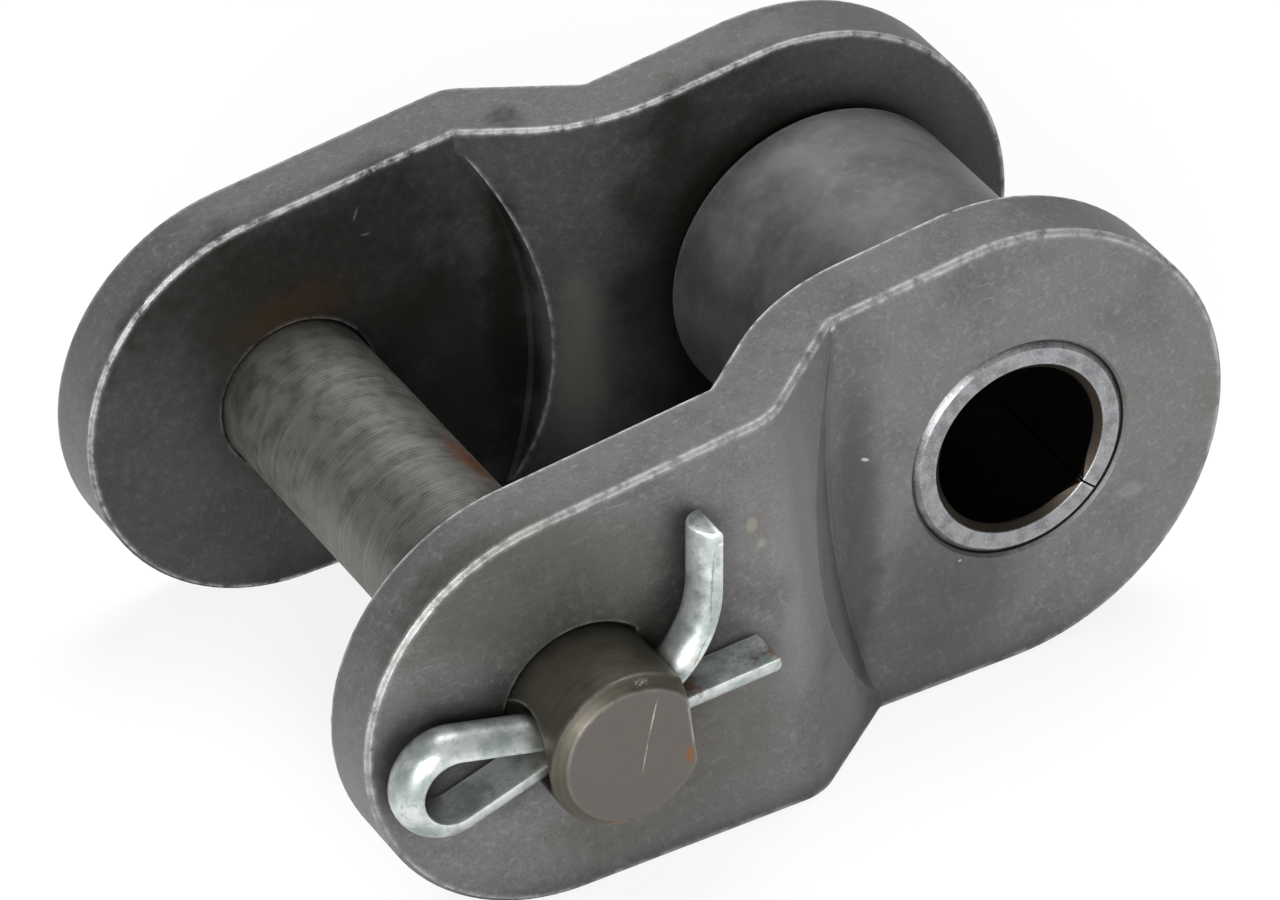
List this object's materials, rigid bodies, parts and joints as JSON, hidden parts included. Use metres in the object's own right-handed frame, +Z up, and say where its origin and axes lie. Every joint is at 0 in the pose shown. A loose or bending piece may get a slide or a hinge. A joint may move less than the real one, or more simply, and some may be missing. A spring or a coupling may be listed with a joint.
{
  "type": "offset chain connecting link",
  "caption": "Offset (cranked) roller chain link: two joggled plates, a pressed bush with a free-turning roller, and a connecting pin locked by a bent split pin.",
  "frame": {"origin": "on the bush axis, midway between the two plates", "axes": "+X from the connecting pin towards the bush, +Y along the pin away from its split-pin end, +Z up; the link stands on the lower edges of its plates, so its pitch line leans by the plates' taper"},
  "size_m": [0.0474, 0.0384, 0.0235],
  "materials": {
    "plate_steel": "heat-treated, oiled and tumbled, worn bright on its edges",
    "bush_steel": "case-hardened and tumbled",
    "roller_steel": "satin, case-hardened",
    "pin_steel": "centreless ground, oil-stained",
    "zinc_wire": "bright zinc plate"
  },
  "bodies": {
    "frame": {"offset_plate_front": "plate_steel", "offset_plate_back": "plate_steel", "bush": "bush_steel", "connecting_pin": "pin_steel", "split_pin": "zinc_wire"},
    "roller": {"roller": "roller_steel"}
  },
  "joints": [
    {"name": "roller_spin", "type": "hinge", "parent": "frame", "child": "roller", "pos_m": [0, 0, 0], "axis": [0, 1, 0], "continuous": true}
  ]
}
